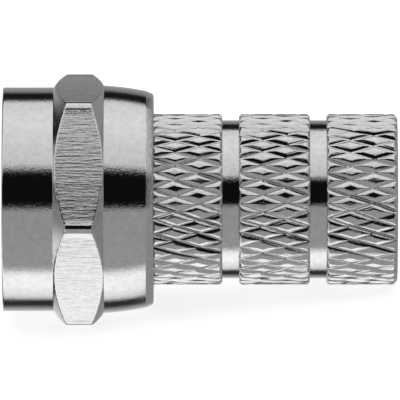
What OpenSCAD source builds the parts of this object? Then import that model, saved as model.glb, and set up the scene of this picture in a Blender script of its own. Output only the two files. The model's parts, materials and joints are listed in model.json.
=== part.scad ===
// Twist-on F plug for coaxial cable: a loose hexagon coupling nut, rolled over the front flange
// of a knurled sleeve. The axis is X, and x = 0 is the reference plane of the joint: the front face
// of the sleeve, where the socket's end seats. The cable goes in from +X. One flat of the hexagon
// faces down. Sizes are in millimetres.

/* [Socket thread] */
// Major diameter of the nut's internal thread
thread_d = 9.525; // [9.3:0.025:9.7]
// Pitch of the nut's internal thread
thread_pitch = 0.794; // [0.6:0.002:1.0]
// Depth from the nut's front rim to the end of its thread
thread_l = 4.9; // [4.4:0.1:5.2]
// How far the entry chamfer stands outside the thread, on the radius
entry_relief = 0.05; // [0.02:0.01:0.1]
// How far the chamber behind the thread stands outside it, on the radius
thread_relief = 0.09; // [0.05:0.01:0.12]

/* [Coupling nut] */
// Wall of the front collar outside the thread
collar_wall = 0.62; // [0.5:0.02:1.2]
// Length of the front collar
collar_l = 2.44; // [1.6:0.02:2.8]
// Length of the hexagon between the collar and the skirt
hex_l = 2.42; // [2.0:0.02:2.6]
// Height of the flats above the front collar
hex_step = 0.12; // [0.04:0.01:0.4]
// Radius turned off the corners of the hexagon
corner_cut = 0.08; // [0.05:0.01:0.3]
// Angle of the hexagon's chamfers from its end faces
chamfer_angle = 35; // [25:1:40]
// Depth of the skirt's start below the flats
skirt_step = 0.03; // [0.02:0.01:0.1]
// Length of the rear skirt
skirt_l = 2.39; // [2.2:0.01:3.0]
// How far the skirt tapers in, on the radius, before its rolled end
skirt_taper = 0.26; // [0.1:0.01:0.3]
// Length of the rolled end
roll_l = 0.37; // [0.25:0.01:0.45]
// Wall of the rolled lip at its end
lip_wall = 0.6; // [0.45:0.01:0.7]
// Length of the lip's straight hole
lip_l = 0.5; // [0.4:0.01:0.6]
// Break on the nut's outer edges
edge_break = 0.08; // [0.04:0.01:0.12]

/* [Fit of the nut on the sleeve] */
// Clearance on the radius between the sleeve's flange and the nut's chamber
turn_gap = 0.1; // [0.05:0.01:0.15]
// Clearance in front of the flange and behind it
float_gap = 0.25; // [0.15:0.01:0.3]
// Clearance on the radius between the nut's lip and the knurl
lip_gap = 0.3; // [0.2:0.01:0.36]
// How far the first knurled band starts inside the nut's lip
band_tuck = 0.11; // [0.05:0.01:0.2]
// Clearance on the radius between the sleeve's contact face and the crests of the nut's thread
face_gap = 0.08; // [0.05:0.01:0.15]

/* [Sleeve] */
// Diameter over the knurl
knurl_d = 8.2; // [8.0:0.05:8.3]
// Depth of the plain grooves and of the neck below the knurl
groove_depth = 0.3; // [0.26:0.01:0.4]
// Number of knurled bands
bands = 3; // [1:1:5]
// Length of a knurled band
band_l = 3.4; // [2.2:0.1:6.0]
// Width of the plain groove between two bands
groove_w = 0.8; // [0.4:0.05:2.0]
// Thickness of the wall at the front of the sleeve
face_wall = 1.0; // [0.6:0.05:1.1]
// Chamfer on the rear edge of the flange, which the nut's seat pulls on
flange_chamfer = 0.3; // [0.2:0.01:0.4]
// Hole in the front wall for the cable's dielectric
dielectric_d = 4.2; // [3.6:0.1:5.0]
// Bore for the cable's jacket, at the crests of its thread
cable_bore_d = 6.0; // [5.6:0.05:6.4]
// Chamfer at the cable end, outside
end_chamfer = 0.18; // [0.1:0.01:0.2]
// Chamfer at the cable end, inside
entry_chamfer = 0.35; // [0.2:0.01:0.4]

/* [Diamond knurl] */
// Length of one diamond along the axis
diamond_l = 2.27; // [1.6:0.01:3.2]
// Width of one diamond round the sleeve
diamond_w = 0.758; // [0.6:0.002:1.0]
// Depth of the crossed grooves
diamond_depth = 0.17; // [0.12:0.01:0.24]
// Share of a diamond's length and width that stays flat on top
diamond_land = 0.35; // [0.3:0.005:0.5]
// How far the bands' rings reach below the plain grooves, into the sleeve
ring_sink = 0.1; // [0.05:0.01:0.2]
// Chamfer on the ends of the bands
band_chamfer = 0.12; // [0.05:0.01:0.2]

/* [Hidden] */

round_steps = 96;                           // steps of a full turn
skirt_steps = 6;                            // steps of the skirt's long curve
past = 1;                                   // how far a cut runs on past the metal

// Nut: stations along the axis from its front rim, and radii
thread_r = thread_d / 2;
thread_share = 0.48;                        // height of the internal thread over its pitch
bore_r = thread_r - thread_share * thread_pitch;
chamber_r = thread_r + thread_relief;
mouth_r = thread_r + entry_relief;
collar_r = thread_r + collar_wall;
flat_r = collar_r + hex_step;               // half the width across flats
corner_r = flat_r / cos(30) - corner_cut;
skirt_r = flat_r - skirt_step;
skirt_lean = 0.4;                           // share of the taper that falls evenly
hex_x = collar_l;
skirt_x = hex_x + hex_l;
nut_l = skirt_x + skirt_l;
roll_x = nut_l - roll_l;
knurl_r = knurl_d / 2;
lip_r = knurl_r + lip_gap;
lip_x = nut_l - lip_l;
seat_x = lip_x - (chamber_r - lip_r);       // 45 degree seat from the chamber in to the lip

// Sleeve: stations along the axis from its front face, and radii
nut_x = -(thread_l + float_gap);            // the nut's front rim, seen from the sleeve's face
flange_r = chamber_r - turn_gap;
contact_r = bore_r - face_gap;              // the face reaches the socket through the thread
flange_l = nut_x + seat_x + turn_gap + flange_chamfer - float_gap;
groove_r = knurl_r - groove_depth;
band_x = nut_x + nut_l - band_tuck;
band_step = band_l + groove_w;
sleeve_l = band_x + bands * band_l + (bands - 1) * groove_w;
cable_bore_r = cable_bore_d / 2;

// Knurl: diamonds round the sleeve, and half diamonds along a band
around = round(2 * PI * knurl_r / diamond_w);
half_rows = max(1, round(2 * band_l / diamond_l));
half_l = band_l / half_rows;
land_gap = (1 - diamond_land) / 2;          // from a crossing to the land, as a share

// Solid of revolution about X from points written as [x, radius]
module turned(points)
    rotate([0, 90, 0]) rotate_extrude($fn = round_steps)
        polygon([for (p = points) [p[1], p[0]]]);

// The skirt's outside starts nearly level and falls away, partly evenly and partly as a parabola
function skirt_curve(t) =
    [skirt_x + t * (roll_x - skirt_x),
     skirt_r - skirt_taper * (skirt_lean * t + (1 - skirt_lean) * t * t)];

module coupling_nut() color("#c8c6c2") translate([nut_x, 0, 0]) difference() {
    turned([
        [0, 0], [0, collar_r - edge_break], [edge_break, collar_r], [hex_x, collar_r],
        [hex_x + (corner_r - collar_r) * tan(chamfer_angle), corner_r],
        [skirt_x - (corner_r - skirt_r) * tan(chamfer_angle), corner_r],
        for (i = [0:skirt_steps]) skirt_curve(i / skirt_steps),
        [nut_l - edge_break, lip_r + lip_wall + edge_break], [nut_l, lip_r + lip_wall], [nut_l, 0]
    ]);
    for (i = [0:5]) rotate([i * 60, 0, 0]) flat_cut();
    turned([
        [-past, 0], [-past, mouth_r + past], [mouth_r - bore_r, bore_r], [thread_l, bore_r],
        [thread_l, chamber_r], [seat_x, chamber_r], [lip_x, lip_r],
        [nut_l - edge_break, lip_r], [nut_l + past, lip_r + edge_break + past], [nut_l + past, 0]
    ]);
}

// Metal outside one flat of the hexagon; the collar and the skirt lie below the flats
module flat_cut()
    translate([hex_x - past / 2, -corner_r, flat_r]) cube([hex_l + past, 2 * corner_r, past]);

module cable_sleeve() color("#c4c2be") difference() {
    union() {
        turned([
            [0, 0], [0, contact_r], [flange_r - contact_r, flange_r],
            [flange_l - flange_chamfer, flange_r], [flange_l, flange_r - flange_chamfer],
            [flange_l, groove_r], [sleeve_l, groove_r], [sleeve_l, 0]
        ]);
        for (i = [0:bands - 1])
            translate([band_x + i * band_step, 0, 0])
                knurled_band(band_chamfer, i == bands - 1 ? end_chamfer : band_chamfer);
    }
    turned([
        [-past, 0], [-past, dielectric_d / 2], [face_wall, dielectric_d / 2],
        [face_wall, cable_bore_r], [sleeve_l - entry_chamfer, cable_bore_r],
        [sleeve_l + past, cable_bore_r + entry_chamfer + past], [sleeve_l + past, 0]
    ]);
}

// One knurled band as a ring. Grooves cross at stations half a diamond apart, and each station is
// turned by half a diamond from the last. Between four crossings stands one flat-topped diamond;
// the ends of the band cut diamonds in half across their widest place.
module knurled_band(front_chamfer, rear_chamfer) {
    n = around;
    m = half_rows;
    step = 360 / n;
    low_r = knurl_r - diamond_depth;
    ring_r = groove_r - ring_sink;
    tip = half_l * diamond_land;
    function at(x, turn, r) = [x, r * cos(turn * step), r * sin(turn * step)];
    function turn_of(k, j) = j + k / 2;
    function end_cut(k) = k == 0 ? front_chamfer : k == m ? rear_chamfer : 0;
    // A land narrows along the axis from its widest place, so its edge moves in by this share of a turn
    function slide(c) = c / half_l / 2;
    function corners(k, side, c, r) = [for (j = [0:n - 1])
        at(k * half_l + (k == 0 ? c : -c), turn_of(k, j) + (side == 0 ? land_gap + slide(c)
            : 1 - land_gap - slide(c)), r)];
    // Point lists, n points each: crossings, low and high corners, tips on both sides, chamfer corners
    crossings = [for (k = [0:m], j = [0:n - 1]) at(k * half_l, turn_of(k, j), low_r)];
    lows = [for (k = [0:m]) each corners(k, 0, 0, knurl_r - end_cut(k))];
    highs = [for (k = [0:m]) each corners(k, 1, 0, knurl_r - end_cut(k))];
    fronts = [for (k = [0:m], j = [0:n - 1]) at(k * half_l + tip, turn_of(k, j) + 0.5, knurl_r)];
    backs = [for (k = [0:m], j = [0:n - 1]) at(k * half_l - tip, turn_of(k, j) + 0.5, knurl_r)];
    inner = [for (k = [0, m], j = [0:n - 1]) at(k * half_l, turn_of(k, j), ring_r)];
    cuts = concat(corners(0, 0, front_chamfer, knurl_r), corners(0, 1, front_chamfer, knurl_r),
        corners(m, 0, rear_chamfer, knurl_r), corners(m, 1, rear_chamfer, knurl_r));
    size = (m + 1) * n;
    function cross(k, j) = k * n + (j + n) % n;
    function low(k, j) = size + k * n + j;
    function high(k, j) = 2 * size + k * n + j;
    function front(k, j) = 3 * size + k * n + j;
    function back(k, j) = 4 * size + k * n + j;
    function ring(e, j) = 5 * size + e * n + (j + n) % n;
    function cut(e, side, j) = 5 * size + 2 * n + (2 * e + side) * n + j;
    function fan(p) = [for (i = [1:len(p) - 2]) [p[0], p[i], p[i + 1]]];
    whole = [for (k = [1:1:m - 1], j = [0:n - 1]) each concat(
        fan([front(k, j), back(k, j), low(k, j)]), fan([front(k, j), high(k, j), back(k, j)]),
        fan([cross(k, j), cross(k + 1, j), front(k, j), low(k, j)]),
        fan([cross(k, j + 1), high(k, j), front(k, j), cross(k + 1, j)]),
        fan([cross(k, j + 1), cross(k - 1, j + 1), back(k, j), high(k, j)]),
        fan([cross(k, j), low(k, j), back(k, j), cross(k - 1, j + 1)]))];
    first = [for (j = [0:n - 1]) each concat(
        fan([low(0, j), cut(0, 0, j), cut(0, 1, j), high(0, j)]),
        fan([cut(0, 0, j), front(0, j), cut(0, 1, j)]),
        fan([cross(0, j), cross(1, j), front(0, j), cut(0, 0, j), low(0, j)]),
        fan([cross(0, j + 1), high(0, j), cut(0, 1, j), front(0, j), cross(1, j)]),
        [[cross(0, j), low(0, j), high(0, j), cross(0, j + 1), ring(0, j + 1), ring(0, j)]])];
    last = [for (j = [0:n - 1]) each concat(
        fan([low(m, j), high(m, j), cut(1, 1, j), cut(1, 0, j)]),
        fan([cut(1, 0, j), cut(1, 1, j), back(m, j)]),
        fan([cross(m, j + 1), cross(m - 1, j + 1), back(m, j), cut(1, 1, j), high(m, j)]),
        fan([cross(m, j), low(m, j), cut(1, 0, j), back(m, j), cross(m - 1, j + 1)]),
        [[ring(1, j), ring(1, j + 1), cross(m, j + 1), high(m, j), low(m, j), cross(m, j)]])];
    // Inside wall: the two rings are turned against each other, so each step is cut along its diagonal
    twist = floor(m / 2);
    wall = [for (j = [0:n - 1]) each concat(
        fan([ring(0, j), ring(0, j + 1), ring(1, j + 1 - twist)]),
        fan([ring(0, j), ring(1, j + 1 - twist), ring(1, j - twist)]))];
    polyhedron(points = concat(crossings, lows, highs, fronts, backs, inner, cuts),
        faces = concat(whole, first, last, wall));
}

coupling_nut();
cable_sleeve();
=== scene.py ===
import json
import math
import bmesh
import bpy
import numpy as np
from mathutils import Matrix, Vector


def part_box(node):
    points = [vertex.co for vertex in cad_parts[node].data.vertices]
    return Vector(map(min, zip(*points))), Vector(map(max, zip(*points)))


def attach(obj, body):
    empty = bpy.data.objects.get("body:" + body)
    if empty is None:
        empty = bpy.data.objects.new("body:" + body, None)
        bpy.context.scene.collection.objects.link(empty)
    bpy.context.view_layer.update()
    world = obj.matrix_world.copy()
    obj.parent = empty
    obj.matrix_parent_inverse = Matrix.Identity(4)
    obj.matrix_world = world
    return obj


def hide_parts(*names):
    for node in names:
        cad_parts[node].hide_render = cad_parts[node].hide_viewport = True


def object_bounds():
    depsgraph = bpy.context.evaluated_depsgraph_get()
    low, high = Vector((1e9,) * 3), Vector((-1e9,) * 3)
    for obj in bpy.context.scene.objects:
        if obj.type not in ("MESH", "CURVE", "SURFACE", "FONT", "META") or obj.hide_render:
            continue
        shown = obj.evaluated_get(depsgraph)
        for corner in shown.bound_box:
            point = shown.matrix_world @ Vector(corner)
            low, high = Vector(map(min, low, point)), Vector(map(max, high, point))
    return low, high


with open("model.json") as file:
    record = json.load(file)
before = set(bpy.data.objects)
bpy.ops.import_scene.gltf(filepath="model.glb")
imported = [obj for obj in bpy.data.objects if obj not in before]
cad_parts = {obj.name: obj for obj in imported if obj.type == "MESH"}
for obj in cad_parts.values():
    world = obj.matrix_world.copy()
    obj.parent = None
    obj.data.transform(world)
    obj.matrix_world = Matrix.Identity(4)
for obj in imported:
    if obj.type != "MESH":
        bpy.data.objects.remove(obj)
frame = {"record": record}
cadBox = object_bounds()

mm = 0.001


def makeMesh(name, blocks):
    # Grids of points (rows, columns, xyz) in mm become one mesh, joined where their edges meet
    points, faces, base = [], [], 0
    for grid in blocks:
        rows, columns = grid.shape[:2]
        corner = base + np.arange(rows * columns).reshape(rows, columns)
        quads = np.stack([corner[:-1, :-1], corner[:-1, 1:], corner[1:, 1:], corner[1:, :-1]], axis=-1)
        faces.append(quads.reshape(-1, 4))
        points.append(grid.reshape(-1, 3))
        base += rows * columns
    mesh = bpy.data.meshes.new(name)
    mesh.from_pydata(np.concatenate(points) * mm, [], np.concatenate(faces).tolist())
    return finishMesh(name, mesh)


def finishMesh(name, mesh):
    # Points within 0.2 micrometres are joined, faces without area go, and normals point outwards.
    # Every edge of a closed mesh has two faces, and the print says how many don't
    shell = bmesh.new()
    shell.from_mesh(mesh)
    bmesh.ops.remove_doubles(shell, verts=shell.verts, dist=2e-7)
    bmesh.ops.dissolve_degenerate(shell, edges=shell.edges, dist=1e-8)
    bmesh.ops.recalc_face_normals(shell, faces=shell.faces)
    openEdges = sum(1 for e in shell.edges if len(e.link_faces) != 2)
    shell.to_mesh(mesh)
    shell.free()
    mesh.polygons.foreach_set("use_smooth", np.ones(len(mesh.polygons), dtype=bool))
    piece = bpy.data.objects.new(name, mesh)
    bpy.context.scene.collection.objects.link(piece)
    print(name, "faces", len(mesh.polygons), "open edges", openEdges)
    return piece


def roundCorners(corners, radii, steps=4):
    # Each corner of an open outline gives way to a curve that leaves and meets the straight
    # stretches at their tangents: corner - a, corner and corner + b are a quadratic curve's points.
    # Known fault: two corners in one place divide by zero and give points that aren't numbers, as
    # where the sleeve's thread starts on a crest
    before, at, after = corners[:-2], corners[1:-1], corners[2:]
    back, ahead = before - at, after - at
    backLength = np.linalg.norm(back, axis=-1, keepdims=True)
    aheadLength = np.linalg.norm(ahead, axis=-1, keepdims=True)
    reach = np.asarray(radii)[:, None, None]
    a = back / backLength * np.minimum(reach, 0.45 * backLength)
    b = ahead / aheadLength * np.minimum(reach, 0.45 * aheadLength)
    t = np.linspace(0, 1, steps + 1)[None, :, None, None]
    curve = at[:, None] + (1 - t) ** 2 * a[:, None] + t ** 2 * b[:, None]
    middle = curve.reshape(-1, *corners.shape[1:])
    return np.concatenate([corners[:1], middle, corners[-1:]])


def aroundAxis(outline, angles, shift=0.0):
    # An outline of (x, radius) pairs carried round the X axis: y = r cos, z = r sin
    x, r = outline[..., 0] + shift, outline[..., 1]
    return np.stack([x, r * np.cos(angles), r * np.sin(angles)], axis=-1)


def threadRadius(x, angles, crest, root, pitch):
    # 60 degree thread: the radius falls from root to crest along flanks on both sides of a
    # turn's middle, which climbs one pitch for each turn round the axis
    turn = (x - pitch * angles / (2 * math.pi)) / pitch
    offset = np.abs(turn - np.round(turn)) * pitch
    return np.clip(root - (offset - pitch / 16) / math.tan(math.radians(30)), crest, root)


def threadBlock(start, end, angles, crest, root, pitch, wall):
    # Rows follow the helix, so flanks and crests are grid lines; rows that run past an end stop
    # there. wall(x) is the radius of a chamfer that the thread runs out into. Known fault: where the
    # angles start past zero, as the nut's do, a thin wedge stays open at the start
    flank = (root - crest) * math.tan(math.radians(30)) + pitch / 16
    share = np.array([0, pitch / 16, flank, pitch / 2, pitch - flank, pitch - pitch / 16]) / pitch
    turns = np.arange(math.floor(start / pitch) - 1, math.ceil(end / pitch) + 1)
    rows = (turns[:, None] + share[None, :]).reshape(-1) * pitch
    x = np.clip(rows[:, None] + pitch * angles[None, :] / (2 * math.pi), start, end)
    r = np.maximum(threadRadius(x, angles[None, :], crest, root, pitch), wall(x))
    return np.stack([x, r], axis=-1)


nut = {    # flatEnd, cornerStart and burrWidth are degrees round the axis, skirtLean and edgeShare shares
    "collarRadius": 5.38, "collarLength": 2.44, "hexLength": 2.42, "chamferAngle": 35.0,
    "skirtRadius": 5.47, "skirtTaper": 0.26, "skirtLean": 0.4, "skirtSteps": 8,
    "rollLength": 0.37, "rollRadius": 5.08, "endRadius": 4.99, "endRound": 0.06,
    "lipRadius": 4.4, "lipLength": 0.5, "chamberRadius": 4.85,
    "threadDepth": 4.9, "threadRadius": 4.7625, "threadPitch": 0.794, "mouthRadius": 4.8125,
    "flatColumns": 60, "flatCrown": 0.035, "flatEnd": 27.5, "cornerColumns": 30, "cornerStart": 24.5,
    "burrHeight": 0.008, "burrWidth": 1.2, "nick": 0.02,
    "edgeDrop": 0.12, "edgeShare": 0.6, "edgeReach": 0.07, "edgeInset": 0.16,
}


def hexAngles():
    # One set of columns crosses a flat, and a denser one crosses the corner after it
    start = nut["cornerStart"]
    sector = start * np.linspace(-1, 1, nut["flatColumns"])
    corner = np.linspace(start, 60 - start, nut["cornerColumns"])[1:-1]
    one = np.concatenate([sector, corner])
    angles = np.concatenate([one + 60 * i for i in range(6)]) + 90
    return np.radians(np.append(angles, angles[0] + 360))


def hexRadius(angles, flatRadius, cornerRadius):
    # Distance of the hexagon's outline from the axis. A flat is a straight line, flat radius over
    # the cosine of the angle from its middle, very slightly crowned. At a corner an arc touches
    # both flats: centre is how far its middle lies from the axis on the corner's line, and its top
    # is at the corner radius. A low burr stands where each flat ends
    away = np.abs((np.degrees(angles) - 60) % 60 - 30)
    top = 1 / math.cos(math.radians(30))
    rounding = (flatRadius * top - cornerRadius) / (top - 1)
    centre = (flatRadius - rounding) * top
    touch = math.degrees(math.atan(centre * math.sin(math.radians(30)) / flatRadius))
    crown = nut["flatCrown"] * (away / touch) ** 2
    lowered = flatRadius - np.minimum(crown, nut["flatCrown"])
    flat = lowered / np.cos(np.radians(np.minimum(away, touch)))
    turn = np.radians(30 - np.maximum(away, touch))
    arc = centre * np.cos(turn) + np.sqrt(rounding ** 2 - (centre * np.sin(turn)) ** 2)
    burr = nut["burrHeight"] * np.exp(-((away - touch) / nut["burrWidth"]) ** 2)
    fade = nut["flatCrown"] * np.clip((30 - away) / (30 - touch), 0, 1)
    return np.minimum(np.where(away < touch, flat, arc - fade) + burr, cornerRadius)


def buildNut():
    # Each row is (x from the front rim, radius, reach of the rounding); a row with the hexagon's
    # outline in it differs from column to column. The edges of the flats are rounded and nicked
    angles = hexAngles()
    low, high = np.array(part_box("coupling_nut")) / mm
    flat = hexRadius(angles, high[2], high[1])
    same = np.ones_like(angles)
    slope = math.tan(math.radians(nut["chamferAngle"]))
    hexStart = nut["collarLength"]
    hexEnd = hexStart + nut["hexLength"]
    nutLength = high[0] - low[0]
    rollStart = nutLength - nut["rollLength"]
    seatStart = nutLength - nut["lipLength"] - (nut["chamberRadius"] - nut["lipRadius"])
    threadEnd = nut["threadDepth"]
    crest = boreOf("socket_thread")
    nick = nut["nick"] * np.random.default_rng(3).uniform(-1, 1, (2, angles.size))
    nick[:, -1] = nick[:, 0]

    def mouth(x):
        return nut["mouthRadius"] - x

    endRadius = threadRadius(threadEnd, angles, crest, nut["threadRadius"], nut["threadPitch"])
    frontEdge = hexStart + (flat - nut["collarRadius"]) * slope
    rearEdge = hexEnd - (flat - nut["skirtRadius"]) * slope
    frontDrop = np.minimum(nut["edgeDrop"], nut["edgeShare"] * (flat - nut["collarRadius"]))
    rearDrop = np.minimum(nut["edgeDrop"], nut["edgeShare"] * (flat - nut["skirtRadius"]))
    inset, reach, lean = nut["edgeInset"], nut["edgeReach"], nut["skirtLean"]
    t = np.linspace(0, 1, nut["skirtSteps"] + 1)[1:-1]
    skirt = [(hexEnd + s * (rollStart - hexEnd),
              nut["skirtRadius"] - nut["skirtTaper"] * (lean * s + (1 - lean) * s * s), 0.2) for s in t]
    rows = [
        (0, nut["mouthRadius"], 0), (0, nut["collarRadius"], 0.1), (hexStart, nut["collarRadius"], 0.03),
        (frontEdge - frontDrop * slope, flat - frontDrop, 0.01),
        (frontEdge + nick[0], flat, reach), (frontEdge + inset, flat, 0.01),
        (rearEdge - inset, flat, 0.01), (rearEdge + nick[1], flat, reach),
        (rearEdge + rearDrop * slope, flat - rearDrop, 0.01),
        (hexEnd, nut["skirtRadius"], 0.03), *skirt,
        (rollStart, nut["skirtRadius"] - nut["skirtTaper"], 0.02),
        (nutLength - nut["endRound"], nut["rollRadius"], 0.03), (nutLength, nut["endRadius"], 0.04),
        (nutLength, nut["lipRadius"], 0.08), (nutLength - nut["lipLength"], nut["lipRadius"], 0.1),
        (seatStart, nut["chamberRadius"], 0.1), (threadEnd, nut["chamberRadius"], 0.05),
        (threadEnd, endRadius, 0),
    ]
    corners = np.array([[x * same, r * same] for x, r, _ in rows]).transpose(0, 2, 1)
    outline = roundCorners(corners, [radius for _, _, radius in rows[1:-1]])
    thread = threadBlock(0, threadEnd, angles, crest, nut["threadRadius"], nut["threadPitch"], mouth)
    return makeMesh("couplingNut", [aroundAxis(outline, angles, low[0]),
                                    aroundAxis(thread, angles, low[0])])


def giveFlats(piece, finish):
    # The milled flats get a finish of their own: faces behind the collar that don't lean along the
    # axis, lie within flatEnd of a flat's middle and stand about as far out as the flats do
    mesh = piece.data
    mesh.materials.append(finish)
    count = len(mesh.polygons)
    centre, normal = np.empty(count * 3), np.empty(count * 3)
    mesh.polygons.foreach_get("center", centre)
    mesh.polygons.foreach_get("normal", normal)
    centre, normal = centre.reshape(-1, 3) / mm, normal.reshape(-1, 3)
    away = (np.degrees(np.arctan2(centre[:, 2], centre[:, 1])) - 60) % 60 - 30
    stand = (centre * normal).sum(axis=1)
    height = np.hypot(centre[:, 1], centre[:, 2]) * np.cos(np.radians(away))
    low, high = np.array(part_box("coupling_nut")) / mm
    leanLimit, standSlack, heightSlack = 0.2, 0.05, 0.03
    flats = (np.abs(normal[:, 0]) < leanLimit) & (np.abs(away) < nut["flatEnd"])
    flats &= (stand > high[2] - standSlack) & (height > high[2] - heightSlack)
    flats &= centre[:, 0] > low[0] + nut["collarLength"]
    mesh.polygons.foreach_set("material_index", flats.astype(np.int32))


sleeve = {
    "flangeRadius": 4.75, "flangeLength": 1.3, "flangeChamfer": 0.3, "contactRadius": 4.3,
    "neckRadius": 3.8, "faceWall": 1.0, "threadRadius": 3.3, "threadPitch": 1.25, "threadStart": 2.4,
    "entryChamfer": 0.35, "endSetback": 0.005, "columns": 192,
}


def buildSleeve():
    # Everything but the knurled bands: flange, neck and inner thread. Its rear end stops short of
    # the last band's by the setback, so that the two end faces don't lie in one plane
    angles = np.linspace(0, 2 * math.pi, sleeve["columns"] + 1)
    same = np.ones_like(angles)
    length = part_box("cable_sleeve")[1][0] / mm
    bore, hole = boreOf("cable_bore"), boreOf("dielectric_hole")
    firstTurn = sleeve["threadStart"]

    def entry(x):
        return bore + sleeve["entryChamfer"] - (length - x)

    def section(x):
        return threadRadius(x * same, angles, bore, sleeve["threadRadius"], sleeve["threadPitch"])

    flange, rear, chamfer = sleeve["flangeRadius"], sleeve["flangeLength"], sleeve["flangeChamfer"]
    bevel = flange - sleeve["contactRadius"]
    rows = [
        (length, np.maximum(section(length), entry(length)), 0),
        (length, sleeve["neckRadius"], 0.01), (rear, sleeve["neckRadius"], 0.08),
        (rear, flange - chamfer, 0.05), (rear - chamfer, flange, 0.05), (bevel, flange, 0.05),
        (0, sleeve["contactRadius"], 0.05), (0, hole, 0.05),
        (sleeve["faceWall"], hole, 0.05), (sleeve["faceWall"], bore, 0.08),
        (firstTurn, bore, 0.01), (firstTurn, section(firstTurn), 0),
    ]
    corners = np.array([[x * same, r * same] for x, r, _ in rows]).transpose(0, 2, 1)
    outline = roundCorners(corners, [radius for _, _, radius in rows[1:-1]])
    thread = threadBlock(firstTurn, length, angles, bore, sleeve["threadRadius"],
                         sleeve["threadPitch"], entry)
    for grid in (outline, thread):
        grid[..., 0] = np.minimum(grid[..., 0], length - sleeve["endSetback"])
    return makeMesh("sleeveCore", [aroundAxis(outline, angles), aroundAxis(thread, angles)])


knurl = {    # around and halfRows count diamonds; land, uneven and the spreads are shares, hollow a power
    "radius": 4.1, "bandLength": 3.4, "grooveWidth": 0.8, "bands": 3, "firstBand": 1.99,
    "around": 34, "halfRows": 3, "land": 0.3, "depthRight": 0.145, "depthLeft": 0.1,
    "uneven": 0.35, "hollow": 1.6, "depthSpread": 0.2, "placeSpread": 0.1, "toolMark": 0.003,
    "wallSteps": 9, "landSteps": 4, "ringRadius": 3.7, "bandChamfer": 0.12, "endChamfer": 0.18,
}


def cellSteps():
    # Places across one diamond cell, from the bottom of one groove over the land to the next
    edge = (1 - knurl["land"]) / 2
    wall = edge * np.linspace(0, 1, knurl["wallSteps"] + 1)
    land = edge + (0.5 - edge) * np.linspace(0, 1, knurl["landSteps"] + 1)[1:]
    low = np.concatenate([wall, land])
    return np.concatenate([low, 1 - low[-2:0:-1]])


def grooveDepth(line, across, depth, draw):
    # Depth of one hand of grooves. A wall falls from the land's edge slowly at first and steeply at
    # the bottom: depth times (share of the way down) to the power hollow. From one diamond to the
    # next a groove's depth differs a little, and so do the fine marks that the wheel left on it
    steps = cellSteps()
    around, count = knurl["around"], len(steps)
    lines = around * count
    groove = (line + count // 2) // count % around
    cell = across // count % around
    away = np.minimum(steps, 1 - steps)[line % count] * 2 / (1 - knurl["land"])
    fall = np.clip(1 - away, 0, 1) ** knurl["hollow"]
    own = 1 + knurl["depthSpread"] * draw.uniform(-1, 1, (around, around))[groove, cell]
    own += knurl["depthSpread"] * draw.uniform(-1, 1, around)[groove]
    mark = knurl["toolMark"] * draw.normal(size=(lines, around))[line % lines, cell] * (away < 1)
    return depth * own * fall + mark


def placeShift(line, draw):
    # The grooves aren't quite evenly spaced: each is shifted by its own small share of a diamond,
    # and what lies between two grooves shifts in proportion
    count = len(cellSteps())
    shifts = knurl["placeSpread"] * draw.uniform(-1, 1, knurl["around"])
    return np.interp(line % (count * knurl["around"]), np.arange(knurl["around"] + 1) * count,
                     np.append(shifts, shifts[0]))


def knurlRadius(left, right, x, angle, length, chamfers, draw):
    # Each point is as deep as the deeper of its two grooves, the left-hand ones deeper on the upper
    # side where their wheel pressed harder; and the band's ends are chamfered
    press = 1 + knurl["uneven"] * np.sin(angle)
    depth = np.maximum(grooveDepth(left, right, knurl["depthLeft"] * press, draw),
                       grooveDepth(right, left, knurl["depthRight"], draw))
    radius = knurl["radius"] - np.maximum(depth, 0)
    front = knurl["radius"] - np.clip(chamfers[0] - x, 0, None)
    rear = knurl["radius"] - np.clip(chamfers[1] - (length - x), 0, None)
    return np.minimum(radius, np.minimum(front, rear))


def buildBand(index):
    # The grid runs along both hands of groove at once: x = half diamond * (u + v) and
    # angle = half a step round the sleeve * (u - v). A column i holds one left-hand line, a row d
    # holds the points with the same sum of steps, so rows 0 and the last lie on the band's ends
    last = index == knurl["bands"] - 1
    chamfers = (knurl["bandChamfer"], knurl["endChamfer"] if last else knurl["bandChamfer"])
    length, around, halfRows = knurl["bandLength"], knurl["around"], knurl["halfRows"]
    steps = cellSteps()
    m = len(steps)
    depth, columns = halfRows * m, around * m

    def place(k):
        return k // m + steps[k % m]

    draw = np.random.default_rng(11 + index)
    d, i = np.meshgrid(np.arange(depth + 1), np.arange(columns), indexing="ij")
    u, v = place(i), place(d - i)
    x = length / halfRows * (u + v)
    angle = (u - v + placeShift(i, draw) - placeShift(d - i, draw)) * math.pi / around
    radius = knurlRadius(i, d - i, x, angle, length, chamfers, draw)
    start = knurl["firstBand"] + index * (knurl["bandLength"] + knurl["grooveWidth"])
    outer = np.stack([start + x, radius * np.cos(angle), radius * np.sin(angle)], axis=-1)
    inner = outer[[0, -1]] * [1, 0, 0] + np.stack(
        [0 * angle[[0, -1]], knurl["ringRadius"] * np.cos(angle[[0, -1]]),
         knurl["ringRadius"] * np.sin(angle[[0, -1]])], axis=-1)
    number = np.arange((depth + 1) * columns).reshape(depth + 1, columns)
    ring = number[-1, -1] + 1 + np.arange(2 * columns).reshape(2, columns)
    ahead = np.roll(number, -1, axis=1)
    quads = np.stack([number[:-2], ahead[1:-1], ahead[2:], number[1:-1]], axis=-1).reshape(-1, 4)
    first = np.stack([number[0], ahead[0], ahead[1]], axis=-1)
    final = np.stack([number[-2], ahead[-1], number[-1]], axis=-1)
    wall = []
    for low, high in ((number[0], ring[0]), (ring[0], ring[1]), (ring[1], number[-1])):
        wall.append(np.stack([low, high, np.roll(high, -1), np.roll(low, -1)], axis=-1))
    mesh = bpy.data.meshes.new("knurlBand")
    mesh.from_pydata(np.concatenate([outer.reshape(-1, 3), inner.reshape(-1, 3)]) * mm, [],
                     quads.tolist() + first.tolist() + final.tolist() + np.concatenate(wall).tolist())
    return finishMesh(f"knurlBand{index + 1}", mesh)


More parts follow.
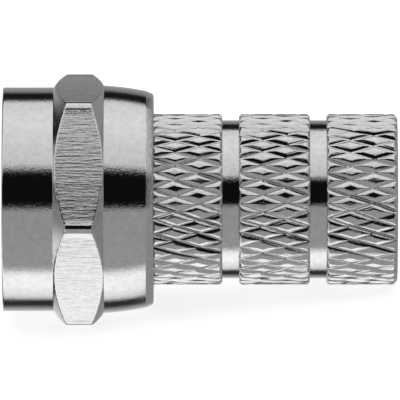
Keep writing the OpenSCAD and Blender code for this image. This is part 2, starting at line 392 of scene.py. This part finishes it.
def addNode(tree, kind, settings=None, inputs=None):
    # One node with its settings, and its inputs as values or as links from other outputs
    node = tree.nodes.new(kind)
    for key, value in (settings or {}).items():
        setattr(node, key, value)
    for key, value in (inputs or {}).items():
        if isinstance(value, bpy.types.NodeSocket):
            tree.links.new(value, node.inputs[key])
        else:
            node.inputs[key].default_value = value
    return node


def colour(code):
    # sRGB hex to linear red, green, blue, alpha
    parts = [int(code[i:i + 2], 16) / 255 for i in (1, 3, 5)]
    return (*[c / 12.92 if c <= 0.04045 else ((c + 0.055) / 1.055) ** 2.4 for c in parts], 1.0)


def boreOf(name):
    return next(m["dims"]["r_mm"] for m in frame["record"]["mounts"] if m["name"] == name)


nickelColour = "#dfdedd"
brightColour = "#f3f2f1"
dullColour = "#c9c8c7"
turnedLook = {    # rings round the axis, left by the lathe's tool and softened by the plate
    "lineSteps": (0.06, 0.3, 0.3), "lineHeight": 0.007, "grainStep": 0.08, "grainHeight": 0.004,
    "blotchStep": 0.3, "roughness": 0.05,
}
milledLook = {    # lines along the axis, left by the cutter that ran across each flat
    "lineSteps": (1.3, 0.13, 0.13), "lineHeight": 0.014, "grainStep": 0.08, "grainHeight": 0.004,
    "blotchStep": 0.3, "roughness": 0.05,
}
knurledLook = {   # walls and tops pressed by the knurling wheel, with a grain and fine scores
    "lineSteps": (0.3, 0.1, 0.1), "lineHeight": 0.006, "grainStep": 0.07, "grainHeight": 0.005,
    "blotchStep": 0.2, "roughness": 0.1,
}


def nickelPlate(name, look):
    # Bright nickel plate over brass: mirror-like and nearly neutral, with fine tool lines and a
    # grain that breaks up the edges of what it mirrors. Lines and grain are drawn several times
    # coarser than real ones, so that they show
    material = bpy.data.materials.new(name)
    material.use_nodes = True
    tree = material.node_tree
    tree.nodes.clear()
    where = addNode(tree, "ShaderNodeTexCoord")
    stretch = addNode(tree, "ShaderNodeMapping", inputs={
        "Vector": where.outputs["Object"], "Scale": [1 / (step * mm) for step in look["lineSteps"]]})
    lines = addNode(tree, "ShaderNodeTexNoise", inputs={
        "Vector": stretch.outputs["Vector"], "Scale": 1.0, "Detail": 3.0, "Roughness": 0.65})
    grain = addNode(tree, "ShaderNodeTexNoise", inputs={
        "Vector": where.outputs["Object"], "Scale": 1 / (look["grainStep"] * mm), "Detail": 2.0,
        "Roughness": 0.6})
    lineBump = addNode(tree, "ShaderNodeBump", inputs={
        "Strength": 1.0, "Distance": look["lineHeight"] * mm, "Height": lines.outputs["Fac"]})
    grainBump = addNode(tree, "ShaderNodeBump", inputs={
        "Strength": 1.0, "Distance": look["grainHeight"] * mm, "Height": grain.outputs["Fac"],
        "Normal": lineBump.outputs["Normal"]})
    blotches = addNode(tree, "ShaderNodeTexNoise", inputs={
        "Vector": where.outputs["Object"], "Scale": 1 / (look["blotchStep"] * mm), "Detail": 4.0,
        "Roughness": 0.7})
    tone = addNode(tree, "ShaderNodeMix", {"data_type": "RGBA"}, {
        "Factor": blotches.outputs["Fac"], 6: colour(brightColour), 7: colour(dullColour)})
    worn = addNode(tree, "ShaderNodeMapRange", inputs={
        "Value": grain.outputs["Fac"], "From Min": 0.3, "From Max": 0.7,
        "To Min": look["roughness"] * 0.8, "To Max": look["roughness"] * 1.25})
    shader = addNode(tree, "ShaderNodeBsdfPrincipled", inputs={
        "Base Color": tone.outputs[2], "Metallic": 1.0, "Roughness": worn.outputs["Result"],
        "Normal": grainBump.outputs["Normal"]})
    addNode(tree, "ShaderNodeOutputMaterial", inputs={"Surface": shader.outputs["BSDF"]})
    return material


def studioWorld():
    # The camera sees plain white, and so does light through clear things. What lights the metal,
    # and what it mirrors, is a studio of long soft strips parallel to the plug's axis. The angle
    # round the X axis starts level on the camera's side and goes up over the top; each stop is
    # (degrees, grey that the plate shows)
    stops = [
        (-180.0, "#8d8d8d"), (-168.0, "#acacac"), (-166.0, "#d3d3d3"), (-134.0, "#707070"),
        (-129.5, "#2a2a2a"), (-114.5, "#2a2a2a"), (-111.0, "#bebebe"), (-103.0, "#dadada"),
        (-90.0, "#efefef"), (-72.0, "#f0f0f0"), (-62.0, "#8e8e8e"), (3.0, "#8a8a8a"), (5.4, "#0c0c0c"),
        (42.4, "#0c0c0c"), (48.9, "#bebebe"), (66.0, "#c5c5c5"), (100.0, "#d5d5d5"), (133.0, "#c8c8c8"),
        (138.0, "#161616"), (155.5, "#161616"), (159.0, "#6e6e6e"), (180.0, "#8d8d8d"),
    ]
    world = bpy.data.worlds.new("studio")
    bpy.context.scene.world = world
    world.use_nodes = True
    tree = world.node_tree
    tree.nodes.clear()
    where = addNode(tree, "ShaderNodeTexCoord")
    axes = addNode(tree, "ShaderNodeSeparateXYZ", inputs={"Vector": where.outputs["Generated"]})
    towards = addNode(tree, "ShaderNodeMath", {"operation": "MULTIPLY"},
                      {0: axes.outputs["Y"], 1: -1.0})
    turn = addNode(tree, "ShaderNodeMath", {"operation": "ARCTAN2"},
                   {0: axes.outputs["Z"], 1: towards.outputs[0]})
    share = addNode(tree, "ShaderNodeMapRange", inputs={
        "Value": turn.outputs[0], "From Min": -math.pi, "From Max": math.pi})
    strips = addNode(tree, "ShaderNodeValToRGB", inputs={"Fac": share.outputs["Result"]})
    ramp = strips.color_ramp
    while len(ramp.elements) > 1:
        ramp.elements.remove(ramp.elements[0])
    plate = colour(nickelColour)[1]
    for number, (degrees, grey) in enumerate(stops):
        place = degrees / 360 + 0.5
        element = ramp.elements[0] if number == 0 else ramp.elements.new(place)
        element.position = place
        level = colour(grey)[0] / plate
        element.color = (level, level, level, 1)
    # Three cards close the strips' ends: a grey one past the cable end, a dark one past the mating
    # end on the far side, and a small grey one straight ahead of the mating end
    cardGrey, cardDark = (0.3, 0.3, 0.3, 1), (0.015, 0.015, 0.015, 1)
    behind = addNode(tree, "ShaderNodeMath", {"operation": "MULTIPLY_ADD"}, {
        0: axes.outputs["Y"], 1: 0.3, 2: axes.outputs["X"]})
    lean = addNode(tree, "ShaderNodeMath", {"operation": "MULTIPLY_ADD"}, {
        0: axes.outputs["Z"], 1: -0.15, 2: behind.outputs["Value"]})
    rear = addNode(tree, "ShaderNodeMapRange", inputs={
        "Value": lean.outputs["Value"], "From Min": 0.44, "From Max": 0.5})
    side = addNode(tree, "ShaderNodeMapRange", inputs={
        "Value": axes.outputs["X"], "From Min": -0.5, "From Max": -0.75})
    away = addNode(tree, "ShaderNodeMapRange", inputs={
        "Value": axes.outputs["Y"], "From Min": 0.0, "From Max": 0.25})
    dark = addNode(tree, "ShaderNodeMath", {"operation": "MULTIPLY"}, {
        0: side.outputs["Result"], 1: away.outputs["Result"]})
    front = addNode(tree, "ShaderNodeMapRange", inputs={
        "Value": axes.outputs["X"], "From Min": -0.94, "From Max": -0.98})
    rearWall = addNode(tree, "ShaderNodeMix", {"data_type": "RGBA"}, {
        "Factor": rear.outputs["Result"], 6: strips.outputs["Color"], 7: cardGrey})
    darkWall = addNode(tree, "ShaderNodeMix", {"data_type": "RGBA"}, {
        "Factor": dark.outputs["Value"], 6: rearWall.outputs[2], 7: cardDark})
    frontWall = addNode(tree, "ShaderNodeMix", {"data_type": "RGBA"}, {
        "Factor": front.outputs["Result"], 6: darkWall.outputs[2], 7: cardGrey})
    path = addNode(tree, "ShaderNodeLightPath")
    plain = addNode(tree, "ShaderNodeMath", {"operation": "MAXIMUM"}, {
        0: path.outputs["Is Camera Ray"], 1: path.outputs["Is Transmission Ray"]})
    seen = addNode(tree, "ShaderNodeMix", {"data_type": "RGBA"}, {
        "Factor": plain.outputs[0], 6: frontWall.outputs[2], 7: (1, 1, 1, 1)})
    glow = addNode(tree, "ShaderNodeBackground", inputs={"Color": seen.outputs[2], "Strength": 1.0})
    addNode(tree, "ShaderNodeOutputWorld", inputs={"Surface": glow.outputs["Background"]})


def floorMaterial():
    # White paper. It shows white to the camera and darkens where the plug shades it; metal looks
    # past it to the studio's own lights and dark walls
    material = bpy.data.materials.new("whitePaper")
    material.use_nodes = True
    tree = material.node_tree
    tree.nodes.clear()
    path = addNode(tree, "ShaderNodeLightPath")
    paper = addNode(tree, "ShaderNodeBsdfDiffuse", inputs={"Color": colour("#e6e6e6")})
    glow = addNode(tree, "ShaderNodeEmission", inputs={"Color": (1, 1, 1, 1), "Strength": 0.75})
    both = addNode(tree, "ShaderNodeAddShader", inputs={0: paper.outputs[0], 1: glow.outputs[0]})
    lit = addNode(tree, "ShaderNodeMixShader", inputs={
        0: path.outputs["Is Camera Ray"], 1: paper.outputs[0], 2: both.outputs[0]})
    clear = addNode(tree, "ShaderNodeBsdfTransparent")
    shown = addNode(tree, "ShaderNodeMixShader", inputs={
        0: path.outputs["Is Glossy Ray"], 1: lit.outputs[0], 2: clear.outputs[0]})
    addNode(tree, "ShaderNodeOutputMaterial", inputs={"Surface": shown.outputs[0]})
    return material


def layFloor():
    # The plug lies on a flat of its hexagon and on the end of its sleeve, so the paper leans by
    # a few degrees along the axis and touches both
    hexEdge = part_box("coupling_nut")[0][0] / mm + nut["collarLength"] + nut["hexLength"]
    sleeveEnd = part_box("cable_sleeve")[1][0] / mm - knurl["endChamfer"]
    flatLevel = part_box("coupling_nut")[0][2] / mm
    slope = -(flatLevel + knurl["radius"]) / (sleeveEnd - hexEdge)
    reach, gap = 300, 0.01
    x = np.array([-reach, reach, reach, -reach])
    y = np.array([-reach, -reach, reach, reach])
    z = flatLevel + slope * (x - hexEdge) - gap
    mesh = bpy.data.meshes.new("floor")
    mesh.from_pydata(np.stack([x, y, z], axis=-1) * mm, [], [(0, 1, 2, 3)])
    mesh.materials.append(floorMaterial())
    floor = bpy.data.objects.new("floor", mesh)
    bpy.context.scene.collection.objects.link(floor)


camera = {    # elevation in degrees, distance in metres; the view's width and the plug's lift in mm
    "elevation": 13.5, "distance": 0.6, "width": 19.23, "lift": 0.035,
}


def placeCamera():
    # A long lens a good way off, in front of the plug's middle and looking slightly down on it
    low, high = cadBox
    target = Vector(((low[0] + high[0]) / 2, 0, -camera["lift"] * mm))
    rise = math.radians(camera["elevation"])
    back = Vector((0, -math.cos(rise), math.sin(rise)))
    data = bpy.data.cameras.new("camera")
    data.sensor_width = 36
    data.lens = data.sensor_width * camera["distance"] / (camera["width"] * mm)
    data.clip_start, data.clip_end = 0.01, 10
    seat = bpy.data.objects.new("camera", data)
    seat.location = target + back * camera["distance"]
    seat.rotation_euler = (-back).to_track_quat("-Z", "Y").to_euler()
    bpy.context.scene.collection.objects.link(seat)
    bpy.context.scene.camera = seat


placeCamera()
studioWorld()
layFloor()
print("camera, studio and floor are placed")

turned = nickelPlate("turnedNickel", turnedLook)
milled = nickelPlate("milledNickel", milledLook)
knurled = nickelPlate("knurledNickel", knurledLook)

couplingNut = buildNut()
couplingNut.data.materials.append(turned)
giveFlats(couplingNut, milled)
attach(couplingNut, "nut")
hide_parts("coupling_nut")
print("nut is built")

sleevePieces = [buildSleeve()] + [buildBand(i) for i in range(knurl["bands"])]
for piece, finish in zip(sleevePieces, [turned, knurled, knurled, knurled]):
    piece.data.materials.append(finish)
    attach(piece, "sleeve")
    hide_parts("cable_sleeve")
print("sleeve is built")

scene = bpy.context.scene
scene.view_settings.view_transform = "Standard"
